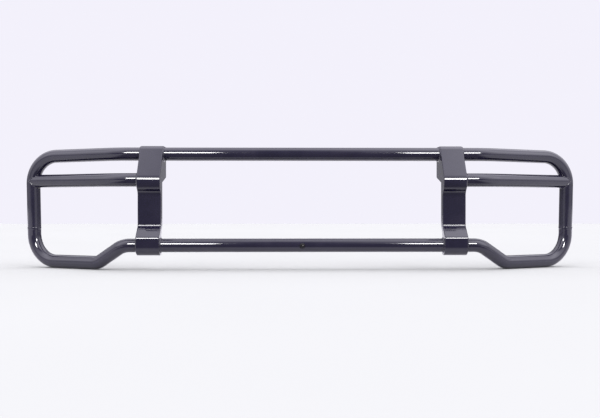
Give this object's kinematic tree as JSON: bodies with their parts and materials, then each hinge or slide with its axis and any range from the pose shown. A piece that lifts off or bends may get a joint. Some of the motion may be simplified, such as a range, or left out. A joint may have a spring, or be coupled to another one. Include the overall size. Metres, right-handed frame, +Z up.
{
  "type": "front grille guard",
  "caption": "Gloss black tubular front grille guard: closed outer hoop with dropped lamp loops, lamp bars and two box brackets that bolt to the vehicle.",
  "frame": {"origin": "centre of the four mounting bolts, on the rear plane of the two mounting plates", "axes": "+X to the right seen from the front, +Y rearwards into the vehicle, +Z up"},
  "size_m": [1.6088, 0.1714, 0.3487],
  "materials": {
    "gloss_black_paint": "gloss black powder coat on steel",
    "painted_weld": "gloss black powder coat over a dressed weld bead",
    "bare_steel": "bare mild steel inside the tube",
    "black_screw": "black oxide steel screw"
  },
  "bodies": {
    "root": {"backing_ring_left": "bare_steel", "backing_ring_right": "bare_steel", "bottom_tube_welds_left": "painted_weld", "bottom_tube_welds_right": "painted_weld", "centre_insert": "gloss_black_paint", "centre_screw": "black_screw", "face_plate_left": "gloss_black_paint", "face_plate_right": "gloss_black_paint", "hoop_splice_weld_left": "painted_weld", "hoop_splice_weld_right": "painted_weld", "inner_side_plate_left": "gloss_black_paint", "inner_side_plate_right": "gloss_black_paint", "lamp_bar_end_weld_left": "painted_weld", "lamp_bar_end_weld_right": "painted_weld", "lamp_bar_left": "gloss_black_paint", "lamp_bar_right": "gloss_black_paint", "lamp_bar_root_weld_left": "painted_weld", "lamp_bar_root_weld_right": "painted_weld", "lower_hoop_tube": "gloss_black_paint", "mounting_plate_left": "gloss_black_paint", "mounting_plate_right": "gloss_black_paint", "outer_side_plate_left": "gloss_black_paint", "outer_side_plate_right": "gloss_black_paint", "top_tube_welds_left": "painted_weld", "top_tube_welds_right": "painted_weld", "upper_hoop_tube": "gloss_black_paint"}
  },
  "joints": []
}
